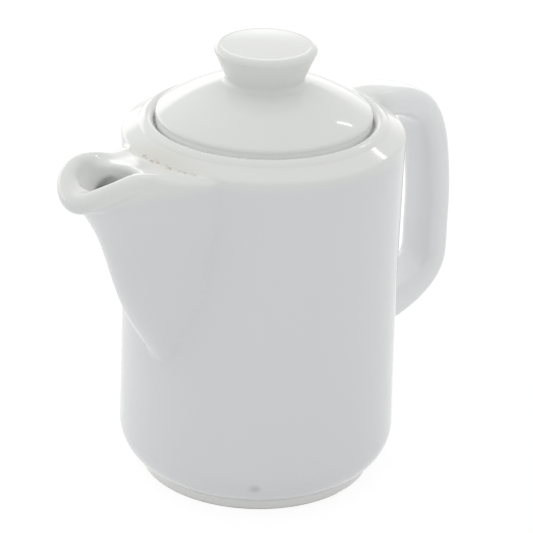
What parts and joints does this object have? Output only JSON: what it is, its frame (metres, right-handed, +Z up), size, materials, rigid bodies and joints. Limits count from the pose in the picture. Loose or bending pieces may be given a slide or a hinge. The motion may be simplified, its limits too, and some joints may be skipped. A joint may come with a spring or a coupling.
{
  "type": "coffee pot",
  "caption": "White glazed porcelain coffee pot with a V-shaped pouring beak, a strap handle and a domed lid that lifts off by its knob.",
  "frame": {"origin": "centre of the foot ring in the plane it stands on, on the axis of the vessel", "axes": "+Z up along the vessel's axis; the pouring beak points towards -X and the handle towards +X; +Y completes a right-handed frame"},
  "size_m": [0.1773, 0.0954, 0.1533],
  "materials": {
    "glazed_porcelain": "gloss"
  },
  "bodies": {
    "pot": {"pot_body": "glazed_porcelain", "spout": "glazed_porcelain", "handle": "glazed_porcelain"},
    "lid": {"lid": "glazed_porcelain", "lid_knob": "glazed_porcelain"}
  },
  "joints": [
    {"name": "lid_lift", "type": "slide", "parent": "pot", "child": "lid", "axis": [0, 0, 1], "range_m": [0, 0.06]}
  ]
}
